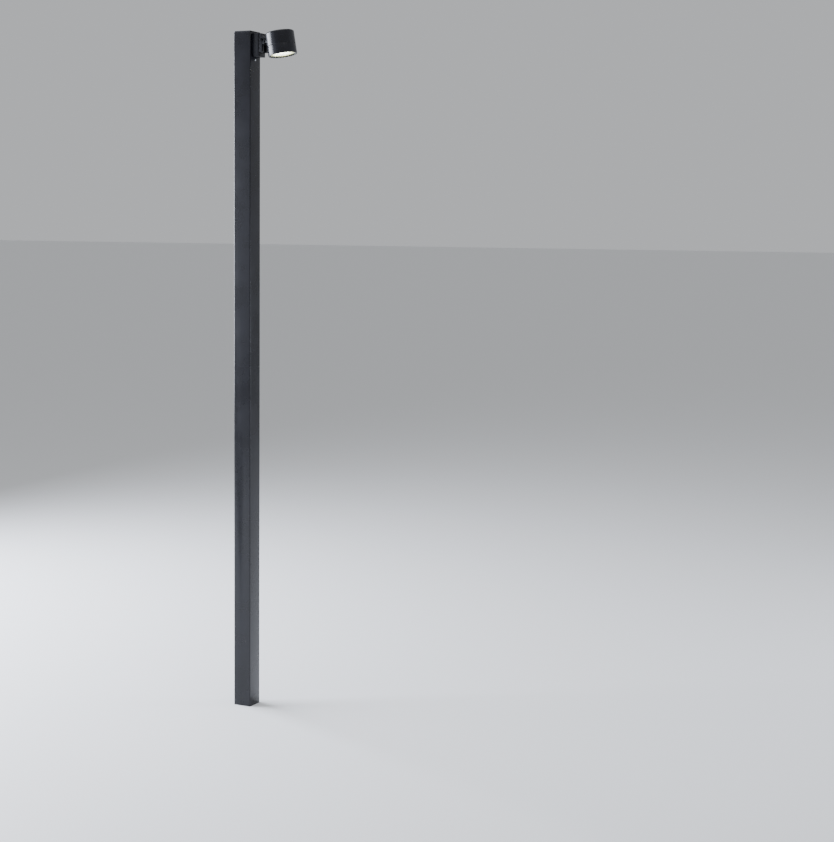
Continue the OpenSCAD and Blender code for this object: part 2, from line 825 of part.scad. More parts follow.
module knuckle_block() {
    half = block_w / 2;
    flare_r = nose_r - 0.3;
    reach = flare_r * sin(flare_a);
    rise = flare_r * cos(flare_a);
    flare_back = block_back - pivot_x + 3;
    color(graphite) difference() {
        union() {
            prism_y(block_w) translate([(block_back + block_front) / 2, block_top - block_h / 2])
                round_rect(block_front - block_back, block_h, 3);
            prism_y(block_w) translate([block_back, block_top - block_h]) square([4, block_h]);
            prism_y(block_w) translate([pivot_x, pivot_z]) circle(nose_r);
            prism_y(block_w) translate([pivot_x, pivot_z]) polygon([[flare_back, flare_h],
                [0, flare_h], [reach, rise], [reach, -rise], [0, -flare_h], [flare_back, -flare_h]]);
        }
        slab([web_front, -slot_w / 2, block_top - block_h - 1],
            [pivot_x + nose_r + 1, slot_w / 2, pivot_z + slot_roof]);
        slab([block_front, -slot_w / 2, pivot_z], [pivot_x + lug_sweep, slot_w / 2, pivot_z + lug_sweep]);
        translate([pivot_x, -half - 1, pivot_z]) to_py() {
            cylinder(r = tilt_bolt_r + fit, h = block_w + 2);
            cylinder(r = bolt_head_r + slip, h = bolt_recess + 1);
            translate([0, 0, block_w - bolt_recess - 1]) cylinder(r = bolt_head_r + 0.5, h = 8, $fn = 6);
        }
        rod_x(block_back - 1, web_front + 1, 0, swivel_z, stud_r + fit);
        rod_x(web_front - stud_head_t, web_front + 1, 0, swivel_z, stud_head_r + fit);
        rod_x(block_back - 1, block_back + 3, 0, swivel_z - stop_r, stop_pin_r + fit);
        translate([block_back, 0, swivel_z]) to_px()
            ring(seal_r + fit, seal_r - seal_groove - fit, -1, 1 + seal_groove / 2);
    }
}

module swivel_stud() {
    color(zinc) difference() {
        union() {
            rod_x(stud_end, web_front, 0, swivel_z, stud_r);
            rod_x(web_front - stud_head_t, web_front, 0, swivel_z, stud_head_r);
        }
        rod_x(stud_end - 1, web_front + 1, 0, swivel_z, stud_bore_r);
    }
}

module swivel_nut() {
    x1 = box_inside - run - stud_washer_t;
    color(zinc) difference() {
        translate([x1 - nut_t, 0, swivel_z]) to_px() cylinder(r = nut_r, h = nut_t, $fn = 6);
        rod_x(x1 - nut_t - 1, x1 + 1, 0, swivel_z, stud_r + fit);
    }
}

module friction_washers() {
    color("tan") {
        translate([box_inside - run - stud_washer_t, 0, swivel_z]) to_px()
            ring(nut_r, stud_r + fit, 0, stud_washer_t);
        for (side = [-1, 1])
            translate([pivot_x, side * (slot_w / 2 - washer_t / 2) - washer_t / 2, pivot_z]) to_py()
                ring(lug_r - 0.5, tilt_bolt_r + fit, 0, washer_t);
    }
}

module swivel_seal() {
    color(rubber) translate([block_back, 0, swivel_z]) to_px()
        ring(seal_r, seal_r - seal_groove, -swivel_gap + run, swivel_gap - run + seal_groove / 2);
}

module stop_pin() {
    color(zinc) rod_x(box_front - stop_depth + run, block_back + 3, 0, swivel_z - stop_r, stop_pin_r);
}

module stud_lead() {
    color(rubber) rod_x(stud_end - 3, lead_end, 0, swivel_z, stud_bore_r - fit);
}

module tilt_bolt() {
    bearing_y = -block_w / 2 + bolt_recess;
    color(rubber) translate([pivot_x, bearing_y, pivot_z]) to_ny() difference() {
        union() {
            cylinder(r = bolt_head_r, h = bolt_head_h);
            translate([0, 0, -block_w + bolt_recess + 1]) cylinder(r = tilt_bolt_r, h = block_w - bolt_recess - 1);
        }
        translate([0, 0, 1.5]) cylinder(r = tilt_bolt_r * 0.8, h = bolt_head_h, $fn = 6);
    }
}

module tilt_nut() {
    color(rubber) translate([pivot_x, block_w / 2 - bolt_recess, pivot_z]) to_py() difference() {
        cylinder(r = bolt_head_r + 0.2, h = bolt_head_h, $fn = 6);
        translate([0, 0, -1]) cylinder(r = tilt_bolt_r + fit, h = bolt_head_h + 2);
    }
}

// ---- lamp head ----

module head_lug() {
    color(graphite) in_head() difference() {
        union() {
            prism_y(lug_w) translate([lug_x, lug_z]) circle(lug_r);
            prism_y(lug_w) translate([lug_x, lug_z])
                polygon([[0, lug_r - 0.1], [0, 0.1 - lug_r], [wall_gap + 2, -lug_foot], [wall_gap + 2, lug_foot]]);
        }
        translate([0, 0, -head_top]) cylinder(r = head_r, h = head_l);
        translate([lug_x, lug_w, lug_z]) to_ny() cylinder(r = tilt_bolt_r + fit, h = 2 * lug_w);
        at_lug_screws() translate([0, 0, -lug_screw_l - 0.5]) cylinder(r = m4_r + fit, h = lug_screw_l);
    }
}

module lug_screws() {
    color(zinc) in_head() at_lug_screws() button_screw(m4_r, m4_head_r, m4_head_h, lug_screw_l);
}

module head_housing() {
    edge = [for (a = [90 : -10 : 0])
        [head_r - head_edge_r + head_edge_r * cos(a), head_top - head_edge_r + head_edge_r * sin(a)]];
    color(graphite) in_head() difference() {
        rotate_extrude() polygon(concat([[0, head_top]], edge, [[head_r, split_z],
            [collar_r + slip / 2, split_z], [collar_r + slip / 2, collar_z + slip],
            [head_bore_r, collar_z + slip], [head_bore_r, roof_z], [0, roof_z]]));
        at_lug_screws() translate([0, 0, -head_wall - 1]) cylinder(r = m4_r + fit, h = head_wall + 2);
        translate([-head_r - 1, 0, gland_z]) to_px() cylinder(r = head_gland_r + fit, h = head_wall + 2);
        at_vent() translate([0, 0, -head_wall - 1]) cylinder(r = vent_r + fit, h = head_wall + 2);
        at_sink_screws() translate([0, 0, -sink_screw_l - 0.5])
            cylinder(r = m4_r + fit, h = sink_screw_l);
    }
}

module heat_sink() {
    color(bare_alu) in_head() difference() {
        union() {
            translate([0, 0, sink_z]) cylinder(r = sink_r, h = sink_t);
            for (i = [0 : fin_count - 1]) {
                y = (i - (fin_count - 1) / 2) * fin_pitch;
                half = sqrt(pow(sink_r - 0.5, 2) - pow(abs(y) + fin_t / 2, 2));
                slab([-half, y - fin_t / 2, sink_z + sink_t - 1], [half, y + fin_t / 2, roof_z]);
            }
        }
        at_sink_screws() translate([0, 0, -sink_screw_l - 1]) cylinder(r = m4_r + fit, h = sink_screw_l + 2);
        slab([-head_r, -5, sink_z - 1], [-sink_r + 7, 5, sink_z + sink_t + 8]);
    }
}

module sink_screws() {
    color(zinc) in_head() at_sink_screws() button_screw(m4_r, m4_head_r, m4_head_h, sink_screw_l);
}

module led_board() {
    color("white") in_head() translate([0, 0, board_z]) cylinder(r = board_r, h = board_t);
}

module cob_led() {
    color("gold") in_head() {
        translate([-cob_side / 2, -cob_side / 2, board_z - cob_t]) cube([cob_side, cob_side, cob_t]);
        translate([0, 0, board_z - cob_t - 0.5]) cylinder(r = 7.5, h = 0.6);
    }
}

module led_holder() {
    pocket = cob_side + 2 * slip;
    color("whitesmoke") in_head() difference() {
        translate([0, 0, holder_z]) cylinder(r = holder_r, h = holder_t);
        translate([0, 0, holder_z - 1]) cylinder(r = holder_bore_r, h = holder_t + 2);
        translate([-pocket / 2, -pocket / 2, board_z - cob_t - slip]) cube([pocket, pocket, cob_t + 1]);
    }
}

// the reflector's radius at a share of its depth
function bowl_r(share) = holder_bore_r + 0.5 + (mouth_r - holder_bore_r - 0.5) * sqrt(share);

module reflector() {
    depth = holder_z - flange_z - flange_t;
    steps = 14;
    inner = [for (i = [0 : steps]) [bowl_r(pow(i / steps, 2)), holder_z - depth * pow(i / steps, 2)]];
    outer = [for (i = [steps : -1 : 0]) inner[i] + [reflector_t, 0]];
    color(bare_alu) in_head() {
        rotate_extrude() polygon(concat(inner, outer));
        ring(stack_r, mouth_r, flange_z, flange_t);
    }
}

module retaining_ring() {
    color(rubber) in_head() ring(stack_r, stack_r - retainer_w + 1, retainer_z, retainer_h);
}

module diffuser() {
    color("lightyellow") in_head() translate([0, 0, diffuser_z]) cylinder(r = stack_r, h = diffuser_t);
}

module glass_gaskets() {
    color(rubber) in_head() {
        ring(stack_r, lip_r, lip_z, seal_t);
        ring(stack_r, lip_r, gasket_z, gasket_t);
    }
}

module front_glass() {
    color("azure", 0.5) in_head() translate([0, 0, glass_z]) cylinder(r = stack_r, h = glass_t);
}

module front_ring() {
    color(graphite) in_head() {
        ring(head_r, ring_bore_r, lip_z, ring_top - lip_z);
        ring(collar_r, ring_bore_r, ring_top - 1, collar_h + 1);
        ring(head_r, lip_r, -head_top, lip_t);
    }
}

module front_oring() {
    color(rubber) in_head() ring(collar_r + 1, collar_r + fit, ring_top, split_gap);
}

module head_gland() {
    color(rubber) in_head() translate([-head_r, 0, gland_z]) to_nx()
        gland(head_gland_r, head_gland_nut_r, 2.5, head_gland_r, head_gland_l, head_wall + 3.5, lead_r + fit);
}

module head_lead() {
    color(rubber) in_head() translate([-head_r - head_gland_l - 2, 0, gland_z]) to_px()
        cylinder(r = lead_r, h = head_gland_l + head_wall + 2 + 5);
}

module vent_plug() {
    color(rubber) in_head() at_vent() button_screw(vent_r, vent_head_r, vent_head_h, head_wall + 1.5);
}

anchor_foot();
base_seal();
foot_screws();
post_tube();
cap_gasket();
top_cap();
m5_screws();
door_frame();
service_door();
door_gasket();
door_screws();
gear_tray();
tray_brackets();
m4_screws();
terminal_box();
terminal_box_lid();
terminal_block();
fuse_carrier();
cable_glands();
power_cables();
led_driver();
driver_straps();
earth_stud();
riser_clamp();
riser_grommet();
rivet_nuts();
box_gasket();
box_back_plate();
box_plate_screws();
mounting_box();
box_screws();
box_connector();
knuckle_block();
swivel_stud();
swivel_nut();
friction_washers();
swivel_seal();
stop_pin();
stud_lead();
tilt_bolt();
tilt_nut();
head_lug();
lug_screws();
head_housing();
heat_sink();
sink_screws();
led_board();
cob_led();
led_holder();
reflector();
retaining_ring();
diffuser();
glass_gaskets();
front_glass();
front_ring();
front_oring();
head_gland();
head_lead();
vent_plug();
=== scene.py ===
# %% [markdown]
# # A street lamp post with a small tilting spotlight
#
# The engineering model of the lamp is already finished: every tube, screw and seal has its
# place. What Blender adds is how it looks. A real lamp post is read from its edges: the
# thin bright line on a rounded corner, the hairline shadow round a door, the joint between
# two turned castings. Flat CAD faces with knife edges give none of that, so most outer
# pieces are modelled again here at the same size, with their real edge roundings.
#
# Everything is in metres, and each piece goes where the frame says.

# %% Load the frame
import json
import math

import bmesh
import bpy
from mathutils import Matrix, Vector

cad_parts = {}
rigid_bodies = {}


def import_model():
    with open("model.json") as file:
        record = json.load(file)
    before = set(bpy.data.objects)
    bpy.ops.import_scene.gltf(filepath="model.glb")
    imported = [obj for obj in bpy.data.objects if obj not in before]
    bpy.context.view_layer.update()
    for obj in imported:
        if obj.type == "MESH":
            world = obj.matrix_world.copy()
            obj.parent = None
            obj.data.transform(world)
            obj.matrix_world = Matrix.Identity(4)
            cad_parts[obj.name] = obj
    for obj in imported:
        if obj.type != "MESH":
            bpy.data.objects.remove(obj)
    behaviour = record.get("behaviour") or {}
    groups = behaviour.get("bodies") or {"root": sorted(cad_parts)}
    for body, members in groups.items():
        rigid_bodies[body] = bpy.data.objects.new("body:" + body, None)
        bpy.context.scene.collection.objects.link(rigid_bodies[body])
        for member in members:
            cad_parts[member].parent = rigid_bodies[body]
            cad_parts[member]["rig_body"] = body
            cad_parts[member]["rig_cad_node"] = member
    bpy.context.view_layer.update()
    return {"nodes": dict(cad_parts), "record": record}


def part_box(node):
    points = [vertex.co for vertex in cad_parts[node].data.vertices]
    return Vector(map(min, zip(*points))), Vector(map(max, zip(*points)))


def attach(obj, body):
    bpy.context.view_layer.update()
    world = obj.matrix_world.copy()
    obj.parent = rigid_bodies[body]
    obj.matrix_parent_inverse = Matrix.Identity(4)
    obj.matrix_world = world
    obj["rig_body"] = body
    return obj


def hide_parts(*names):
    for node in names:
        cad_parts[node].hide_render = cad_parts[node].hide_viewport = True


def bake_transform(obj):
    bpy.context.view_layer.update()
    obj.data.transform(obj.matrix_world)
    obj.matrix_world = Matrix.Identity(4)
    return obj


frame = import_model()
MM = 0.001
print("nodes in the frame:", len(frame["nodes"]))

# %% [markdown]
# ## Camera
#
# A lamp post of this kind is seen from a standing person's eye level, some six metres away,
# so that the post stays straight and the lamp's lit front shows from slightly below. The
# camera is placed first, because it decides how much detail each piece needs: from there an
# edge 4 mm wide is about the finest that shows. It is turned by three angles: a pan, a small
# downward pitch and a trace of roll.

# %% Camera
CAMERA_PLACE = Vector((3.345, -5.401, 1.780))
CAMERA_PAN = math.radians(26.05)
CAMERA_PITCH = math.radians(-6.28)
CAMERA_ROLL = math.radians(0.65)
FOCAL_LENGTH = 73.0

bpy.ops.object.camera_add(location=CAMERA_PLACE)
camera = bpy.context.object
camera.name = "camera"
camera.data.lens = FOCAL_LENGTH
camera.data.sensor_width = 36
upright = Matrix.Rotation(math.radians(90), 4, "X")
pan = Matrix.Rotation(CAMERA_PAN, 4, "Z")
pitch = Matrix.Rotation(CAMERA_PITCH, 4, "X")
roll = Matrix.Rotation(CAMERA_ROLL, 4, "Z")
camera.matrix_world = Matrix.Translation(CAMERA_PLACE) @ pan @ upright @ pitch @ roll
bpy.context.scene.camera = camera
print("camera looks along", [round(c, 3) for c in camera.matrix_world.col[2][:3]])

# %% [markdown]
# ## Colours and a node helper
#
# Finishes are written down as sRGB hex values, as on a paint card. The shader works with
# linear light, so one function converts them. Another adds a shader node, with its settings
# and its links, so that each material below reads as a short recipe.

# %% Colour and node helpers
def linear(hex_colour):
    """A paint-card colour such as "2b2d31" as linear RGBA."""
    channels = []
    for i in (0, 2, 4):
        c = int(hex_colour[i:i + 2], 16) / 255
        channels.append(c / 12.92 if c <= 0.04045 else ((c + 0.055) / 1.055) ** 2.4)
    return (*channels, 1.0)


def add_node(material, kind, values=None, links=None, **settings):
    """Adds a node: settings are its options, values its constant inputs, links its wires."""
    tree = material.node_tree
    new = tree.nodes.new(kind)
    for name, value in settings.items():
        setattr(new, name, value)
    for socket, value in (values or {}).items():
        new.inputs[socket].default_value = value
    for socket, (source, output) in (links or {}).items():
        tree.links.new(source.outputs[output], new.inputs[socket])
    return new


def new_material(name, **surface):
    """A material with a Principled shader, and the shader's plain values set on it."""
    material = bpy.data.materials.new(name)
    material.use_nodes = True
    shader = material.node_tree.nodes["Principled BSDF"]
    for socket, value in surface.items():
        shader.inputs[socket.replace("_", " ")].default_value = value
    return material, shader


def wire(material, source, output, target, socket):
    """Joins an output to an input of a node that is already there."""
    material.node_tree.links.new(source.outputs[output], target.inputs[socket])


def object_place(material, scale=(1, 1, 1)):
    """Object coordinates, stretched by a Mapping node, in metres times scale."""
    place = add_node(material, "ShaderNodeTexCoord")
    return add_node(material, "ShaderNodeMapping", {"Scale": scale}, {"Vector": (place, "Object")})


def ramp(material, source, output, stops):
    """A colour ramp on a value, with (position, hex colour) stops."""
    made = add_node(material, "ShaderNodeValToRGB", links={"Fac": (source, output)})
    bands = made.color_ramp.elements
    while len(bands) < len(stops):
        bands.new(0.5)
    for band, (position, colour) in zip(bands, stops):
        band.position = position
        band.color = linear(colour)
    return made


# %% [markdown]
# ## Graphite powder coat
#
# Outdoor lamps are powder coated: charged powder is sprayed on the metal and baked, and it
# flows into a tough skin about 0.1 mm thick. The skin isn't quite smooth. A fine-texture
# coat has soft bumps about 0.4 mm apart, too fine to show from six metres, so they are drawn
# 1.6 mm apart here, very low. A broad, weak mottle stands for handling marks and dust, which
# a camera sees as slow changes of gloss along the tube.
#
# IOR 1.5 is typical for polyester powder. Its mirror share is set to about 70 percent
# of what that IOR gives, as fine bumps shade each other. The graphite pigment is bluish.

# %% Powder coat
COAT_GRAIN = 1.6 * MM
MOTTLE = 90 * MM


def powder_coat(name, dark, light, roughness):
    material, shader = new_material(name, Metallic=0.0, IOR=1.5, Specular_IOR_Level=0.36)
    place = object_place(material)
    mottle = add_node(material, "ShaderNodeTexNoise",
                      {"Scale": 1 / MOTTLE, "Detail": 3.0, "Roughness": 0.55},
                      {"Vector": (place, "Vector")})
    tone = ramp(material, mottle, "Fac", [(0.35, dark), (0.65, light)])
    gloss = add_node(material, "ShaderNodeMapRange",
                     {"From Min": 0.3, "From Max": 0.7,
                      "To Min": roughness - 0.02, "To Max": roughness + 0.04},
                     {"Value": (mottle, "Fac")})
    grain = add_node(material, "ShaderNodeTexNoise",
                     {"Scale": 1 / COAT_GRAIN, "Detail": 2.0}, {"Vector": (place, "Vector")})
    bump = add_node(material, "ShaderNodeBump",
                    {"Strength": 0.22, "Distance": 0.25 * MM}, {"Height": (grain, "Fac")})
    wire(material, tone, "Color", shader, "Base Color")
    wire(material, gloss, "Result", shader, "Roughness")
    wire(material, bump, "Normal", shader, "Normal")
    return material


graphite_coat = powder_coat("graphite powder coat", "0d0e14", "12131a", 0.27)
print("coat:", graphite_coat.name)

# %% [markdown]
# ## Rubber, steel and the other finishes
#
# The seals are black EPDM: matt, with a faint bloom of wax. Screws are turned stainless
# steel, whose fine machining marks change their tone and roughness in small patches.
# Galvanised sheet shows zinc spangle, crystals a few millimetres across, which a Voronoi
# pattern gives. The plastics inside the post are injection moulded with a spark-eroded
# texture.

# %% Small finishes
def moulded(name, colour, shade, grain, roughness, bump_height):
    """A moulded rubber or plastic: an even colour, a slow shade and a fine grain."""
    material, shader = new_material(name, Metallic=0.0, IOR=1.48)
    place = object_place(material)
    cloud = add_node(material, "ShaderNodeTexNoise",
                     {"Scale": 0.06 / grain, "Detail": 2.0}, {"Vector": (place, "Vector")})
    tone = ramp(material, cloud, "Fac", [(0.3, shade), (0.7, colour)])
    texture = add_node(material, "ShaderNodeTexNoise",
                       {"Scale": 1 / grain, "Detail": 1.0}, {"Vector": (place, "Vector")})
    gloss = add_node(material, "ShaderNodeMapRange",
                     {"From Min": 0.3, "From Max": 0.7,
                      "To Min": roughness - 0.06, "To Max": roughness + 0.06},
                     {"Value": (cloud, "Fac")})
    bump = add_node(material, "ShaderNodeBump",
                    {"Strength": 0.3, "Distance": bump_height}, {"Height": (texture, "Fac")})
    wire(material, tone, "Color", shader, "Base Color")
    wire(material, gloss, "Result", shader, "Roughness")
    wire(material, bump, "Normal", shader, "Normal")
    return material


def metal(name, colour, shade, roughness, grain, stretch=(1, 1, 1)):
    """A bare metal: its tone and gloss change with the marks of its making."""
    material, shader = new_material(name, Metallic=1.0)
    place = object_place(material, stretch)
    marks = add_node(material, "ShaderNodeTexNoise",
                     {"Scale": 1 / grain, "Detail": 4.0, "Roughness": 0.6},
                     {"Vector": (place, "Vector")})
    tone = ramp(material, marks, "Fac", [(0.3, shade), (0.7, colour)])
    gloss = add_node(material, "ShaderNodeMapRange",
                     {"From Min": 0.3, "From Max": 0.7,
                      "To Min": roughness - 0.08, "To Max": roughness + 0.08},
                     {"Value": (marks, "Fac")})
    bump = add_node(material, "ShaderNodeBump",
                    {"Strength": 0.15, "Distance": 0.05 * MM}, {"Height": (marks, "Fac")})
    wire(material, tone, "Color", shader, "Base Color")
    wire(material, gloss, "Result", shader, "Roughness")
    wire(material, bump, "Normal", shader, "Normal")
    return material


def spangled_zinc():
    """Hot-dip galvanised steel: each zinc crystal has its own tone and gloss."""
    material, shader = new_material("hot-dip zinc", Metallic=1.0)
    place = object_place(material)
    crystals = add_node(material, "ShaderNodeTexVoronoi", {"Scale": 1 / (6 * MM)},
                        {"Vector": (place, "Vector")}, feature="F1")
    grey = add_node(material, "ShaderNodeSeparateColor", links={"Color": (crystals, "Color")})
    tone = ramp(material, grey, "Red", [(0.0, "8f9499"), (1.0, "b9bdc1")])
    gloss = add_node(material, "ShaderNodeMapRange", {"To Min": 0.34, "To Max": 0.56},
                     {"Value": (grey, "Green")})
    wire(material, tone, "Color", shader, "Base Color")
    wire(material, gloss, "Result", shader, "Roughness")
    return material


epdm = moulded("black EPDM rubber", "17171a", "101012", 0.9 * MM, 0.72, 0.06 * MM)
black_nylon = moulded("black polyamide", "1d1e20", "161719", 0.7 * MM, 0.5, 0.04 * MM)
grey_case = moulded("light grey polycarbonate", "b3b7b9", "a6abad", 0.7 * MM, 0.42, 0.04 * MM)
ivory_nylon = moulded("ivory polyamide", "ded6bd", "d2c9ae", 0.7 * MM, 0.45, 0.03 * MM)
friction_disc = moulded("filled PTFE", "b39a6b", "a48b5d", 0.5 * MM, 0.55, 0.02 * MM)
cable_sheath = moulded("rubber cable sheath", "1a1a1c", "121214", 1.2 * MM, 0.6, 0.04 * MM)
board_mask = moulded("white solder mask", "efefe9", "e4e4dd", 2.0 * MM, 0.35, 0.01 * MM)
stainless = metal("turned stainless steel", "b4b7ba", "9a9da1", 0.3, 0.8 * MM)
bare_aluminium = metal("extruded aluminium", "c9cbce", "b2b5b9", 0.34, 1.2 * MM, (6, 6, 0.6))
black_steel = metal("blackened steel", "1e1f21", "141516", 0.42, 0.8 * MM)
brass = metal("machined brass", "c9a55a", "b08c45", 0.3, 0.8 * MM)
zinc = spangled_zinc()
print("finishes:", len(bpy.data.materials))

# %% [markdown]
# ## The lit front: glass over an opal diffuser
#
# The light source is a chip-on-board LED in a spun reflector. In front of it sit an opal
# acrylic disc, which spreads the light, and a clear toughened glass. Seen from the side the
# disc burns out to white in its middle, and falls off to a warm yellow-green at its edge,
# where the light passes the phosphor at a flat angle. So the glow follows the distance from
# the head's own axis. The Mapping node moves the pattern's centre onto that axis, and a
# spherical gradient measures the distance.

# %% Axis of the lamp head
def middle(node):
    low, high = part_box(node)
    return (low + high) / 2


lens_middle = middle("diffuser")
head_down = (lens_middle - middle("led_board")).normalized()
head_tilt = math.atan2(head_down.x, -head_down.z)
head_turn = Matrix.Rotation(-head_tilt, 4, "Y")
head_place = Matrix.Translation(lens_middle) @ head_turn
print("head leans out by", round(math.degrees(head_tilt), 2), "degrees")


def along_head(node):
    """Lowest and highest point of a node along the head's axis, from the lens's middle."""
    heights = [-(v.co - lens_middle).dot(head_down) for v in frame["nodes"][node].data.vertices]
    return min(heights), max(heights)


def round_head(node):
    """Smallest and largest distance of a node's points from the head's axis."""
    vertices = frame["nodes"][node].data.vertices
    reach = [(v.co - lens_middle).cross(head_down).length for v in vertices]
    return min(reach), max(reach)


# %% Glass and glow
def lamp_glow():
    """Opal acrylic, lit from behind: white in the middle, warm green-yellow at the edge."""
    radius = round_head("diffuser")[1]
    material, shader = new_material("lit opal acrylic", Metallic=0.0, Roughness=0.35, IOR=1.49)
    place = add_node(material, "ShaderNodeTexCoord")
    moved = add_node(material, "ShaderNodeMapping",
                     {"Location": -lens_middle / radius, "Scale": (1 / radius,) * 3},
                     {"Vector": (place, "Object")})
    distance = add_node(material, "ShaderNodeTexGradient", links={"Vector": (moved, "Vector")},
                        gradient_type="SPHERICAL")
    tint = ramp(material, distance, "Fac",
                [(0.0, "a9ad6c"), (0.08, "d0d08e"), (0.25, "f4efc4"), (0.55, "fffdf2")])
    power = add_node(material, "ShaderNodeMapRange",
                     {"From Min": 0.0, "From Max": 0.5, "To Min": 0.8, "To Max": 8.0},
                     {"Value": (distance, "Fac")}, interpolation_type="SMOOTHSTEP")
    wire(material, tint, "Color", shader, "Base Color")
    wire(material, tint, "Color", shader, "Emission Color")
    wire(material, power, "Result", shader, "Emission Strength")
    return material


def clear_glass():
    """Toughened soda-lime glass: smooth, with a faint roller wave."""
    material, shader = new_material("toughened glass", Metallic=0.0, IOR=1.52, Roughness=0.02,
                                    Transmission_Weight=1.0, Base_Color=linear("f4fbf8"))
    place = object_place(material)
    wave = add_node(material, "ShaderNodeTexNoise", {"Scale": 1 / (30 * MM), "Detail": 0.0},
                    {"Vector": (place, "Vector")})
    bump = add_node(material, "ShaderNodeBump", {"Strength": 0.05, "Distance": 0.1 * MM},
                    {"Height": (wave, "Fac")})
    wire(material, bump, "Normal", shader, "Normal")
    return material


lit_opal = lamp_glow()
front_pane = clear_glass()

# %% [markdown]
# ## Modelling helpers
#
# Each new piece starts from a primitive at its real size. It is shaped in edit mode, gets
# its edge roundings from a Bevel modifier that is then applied, and ends with its object at
# the origin and its place in its mesh. `finish_piece` then names it, gives it its finish,
# puts it on the body it rides on and hides the CAD nodes it stands for.

# %% Piece helpers
def only(piece):
    """Selects one object and makes it active."""
    bpy.ops.object.select_all(action="DESELECT")
    piece.select_set(True)
    bpy.context.view_layer.objects.active = piece


def apply_modifiers(piece):
    only(piece)
    for modifier in list(piece.modifiers):
        bpy.ops.object.modifier_apply(modifier=modifier.name)


def settle(piece, place=None):
    """Moves a piece to its place and puts that place into its mesh."""
    only(piece)
    if place is not None:
        piece.matrix_world = place @ piece.matrix_world
    bpy.ops.object.transform_apply(location=True, rotation=True, scale=True)


def round_edges(piece, width, segments=3, angle=35):
    """Rounds every edge sharper than an angle with a Bevel modifier."""
    bevel = piece.modifiers.new("edge rounding", "BEVEL")
    bevel.width = width
    bevel.segments = segments
    bevel.limit_method = "ANGLE"
    bevel.angle_limit = math.radians(angle)
    bevel.harden_normals = False
    apply_modifiers(piece)


def finish_piece(piece, name, body, material, slot_name, *nodes, smooth=35):
    """Names a piece, gives it its finish and its body, and hides the CAD nodes it stands for."""
    piece.name = name
    piece.data.name = name
    piece.data.materials.clear()
    piece.data.materials.append(material)
    only(piece)
    bpy.ops.object.shade_smooth_by_angle(angle=math.radians(smooth))
    if body:
        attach(piece, body)
    if nodes:
        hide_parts(*nodes)
    print(f"{name}: {len(piece.data.polygons)} faces")
    return piece


def block(low, high):
    """A cube primitive stretched between two corners."""
    bpy.ops.mesh.primitive_cube_add(size=1, location=(Vector(low) + Vector(high)) / 2)
    piece = bpy.context.object
    piece.scale = Vector(high) - Vector(low)
    settle(piece)
    return piece


def select_faces(piece, test):
    """In edit mode, selects the faces that pass a test and nothing else."""
    mesh = bmesh.from_edit_mesh(piece.data)
    for face in mesh.faces:
        face.select_set(test(face))
    bmesh.update_edit_mesh(piece.data)


def select_edges(piece, test):
    """In edit mode, selects the edges that pass a test and nothing else."""
    bpy.ops.mesh.select_mode(type="EDGE")
    mesh = bmesh.from_edit_mesh(piece.data)
    for edge in mesh.edges:
        edge.select_set(test(edge))
    bmesh.update_edit_mesh(piece.data)


def round_edges_along(piece, axis, radius, segments):
    """Rounds the edges of a bar that run along one axis: 0 is X, 1 is Y and 2 is Z."""
    def runs_along(edge):
        a, b = (v.co for v in edge.verts)
        return abs((a - b).normalized()[axis]) > 0.99

    only(piece)
    bpy.ops.object.mode_set(mode="EDIT")
    select_edges(piece, runs_along)
    bpy.ops.mesh.bevel(offset=radius, segments=segments, profile=0.5, affect="EDGES")
    bpy.ops.object.mode_set(mode="OBJECT")


def turned(profile, steps=96):
    """A turned piece: its outline in (radius, height) is drawn as a chain of edges and spun."""
    bpy.ops.mesh.primitive_plane_add(size=0.001, location=(0, 0, 0))
    piece = bpy.context.object
    only(piece)
    bpy.ops.object.mode_set(mode="EDIT")
    bpy.ops.mesh.select_mode(type="VERT")
    bpy.ops.mesh.select_all(action="SELECT")
    bpy.ops.mesh.merge(type="CENTER")
    here = Vector((profile[0][0], 0, profile[0][1]))
    bpy.ops.transform.translate(value=here)
    for radius, height in profile[1:]:
        there = Vector((radius, 0, height))
        bpy.ops.mesh.extrude_region_move(TRANSFORM_OT_translate={"value": there - here})
        here = there
    bpy.ops.mesh.select_all(action="SELECT")
    bpy.ops.mesh.spin(steps=steps, angle=2 * math.pi, center=(0, 0, 0), axis=(0, 0, 1))
    bpy.ops.mesh.select_all(action="SELECT")
    bpy.ops.mesh.remove_doubles(threshold=0.00001)
    bpy.ops.mesh.normals_make_consistent(inside=False)
    bpy.ops.object.mode_set(mode="OBJECT")
    return piece


def arc(centre, radius, start, end, steps=6):
    """Points (radius, height) on a round corner of a turned outline, angles in degrees."""
    turns = [math.radians(start + (end - start) * i / steps) for i in range(steps + 1)]
    return [(centre[0] + radius * math.cos(t), centre[1] + radius * math.sin(t)) for t in turns]


def merged_copy(node):
    """A copy of a CAD node with its loose triangles joined up and its flat faces whole."""
    piece = frame["nodes"][node].copy()
    piece.data = piece.data.copy()
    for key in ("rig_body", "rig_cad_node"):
        del piece[key]
    piece.parent = None
    bpy.context.scene.collection.objects.link(piece)
    only(piece)
    bpy.ops.object.mode_set(mode="EDIT")
    bpy.ops.mesh.select_all(action="SELECT")
    bpy.ops.mesh.remove_doubles(threshold=0.00001)
    bpy.ops.mesh.dissolve_limited(angle_limit=math.radians(0.5))
    bpy.ops.object.mode_set(mode="OBJECT")
    return piece


def cut(piece, cutter):
    """Cuts one piece out of another with a Boolean modifier, and removes the cutter."""
    boolean = piece.modifiers.new("cut", "BOOLEAN")
    boolean.operation = "DIFFERENCE"
    boolean.solver = "EXACT"
    boolean.object = cutter
    apply_modifiers(piece)
    bpy.data.objects.remove(cutter)


